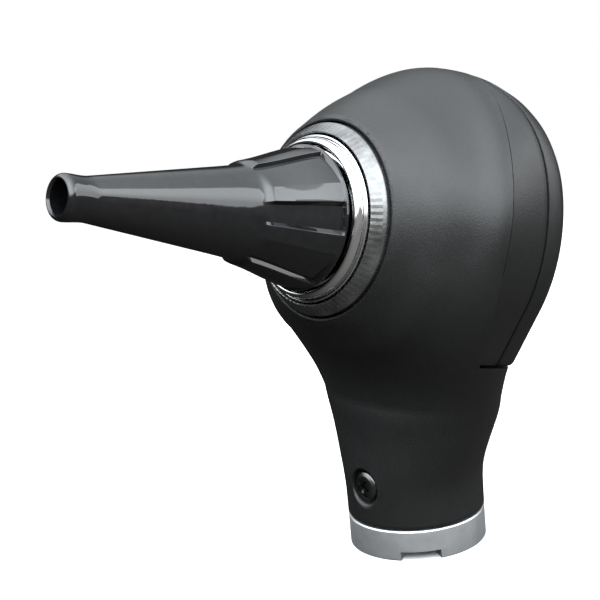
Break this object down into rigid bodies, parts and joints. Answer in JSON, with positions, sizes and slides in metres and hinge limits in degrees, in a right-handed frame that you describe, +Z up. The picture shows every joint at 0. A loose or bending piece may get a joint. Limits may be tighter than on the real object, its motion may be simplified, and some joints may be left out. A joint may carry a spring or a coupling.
{
  "type": "otoscope head",
  "caption": "Fibre-optic diagnostic otoscope head with a swing-away magnifier, a bright twist ring and a slim black ear speculum on a bayonet neck.",
  "frame": {"origin": "centre of the bayonet ring's bottom face, where the handle meets the neck", "axes": "+Z up the neck's axis; the speculum points to -Y and rises 15 degrees; X = 0 is the middle plane of the head"},
  "size_m": [0.0542, 0.0702, 0.0682],
  "materials": {
    "shell": "satin dark graphite, fine grain",
    "rubber": "matt black",
    "chrome": "polished, conical face finely brushed",
    "satin_ring": "satin, turned",
    "steel": "plain",
    "brass": "plain",
    "speculum_black": "polished black",
    "inner_black": "dead matt black against glare",
    "clear_glass": "clear, ground as a magnifier",
    "lamp_glass": "clear",
    "fibre": "bundled glass fibres with polished ends",
    "ceramic": null
  },
  "bodies": {
    "head": {"front_shell": "shell", "rear_housing": "shell", "window_seal": "rubber", "pivot_screw": "steel", "pivot_washer": "steel", "pivot_nut": "brass", "bezel_ring": "chrome", "speculum_mount": "chrome", "speculum_seal": "rubber", "viewing_tube": "inner_black", "fibre_annulus": "fibre", "fibre_bundle": "fibre", "fibre_ferrule": "satin_ring", "insufflation_nipple": "chrome", "housing_screw_1": "steel", "housing_screw_2": "steel", "housing_screw_3": "steel", "housing_screw_4": "steel", "bayonet_ring": "satin_ring", "neck_screw": "steel", "lamp_socket": "satin_ring"},
    "lens_carrier": {"lens_frame": "shell", "magnifier_lens": "clear_glass", "lens_retaining_ring": "inner_black"},
    "twist_lock": {"twist_ring": "chrome"},
    "speculum_body": {"speculum": "speculum_black"},
    "lamp": {"lamp_base": "brass", "lamp_glass": "lamp_glass", "lamp_insulator": "ceramic", "lamp_contact": "brass"}
  },
  "joints": [
    {"name": "lens_swivel", "type": "hinge", "parent": "head", "child": "lens_carrier", "pos_m": [-0.0176, 0.00168, 0.05328], "axis": [0, -0.9659, 0.2588], "range_deg": [0, 180]},
    {"name": "speculum_twist", "type": "hinge", "parent": "head", "child": "twist_lock", "pos_m": [0, 0, 0.047], "axis": [0, -0.9659, 0.2588], "range_deg": [0, 20]},
    {"name": "speculum_pull", "type": "slide", "parent": "twist_lock", "child": "speculum_body", "axis": [0, -0.9659, 0.2588], "range_m": [0, 0.045]},
    {"name": "lamp_pull", "type": "slide", "parent": "head", "child": "lamp", "axis": [0, 0, -1], "range_m": [0, 0.03]}
  ]
}
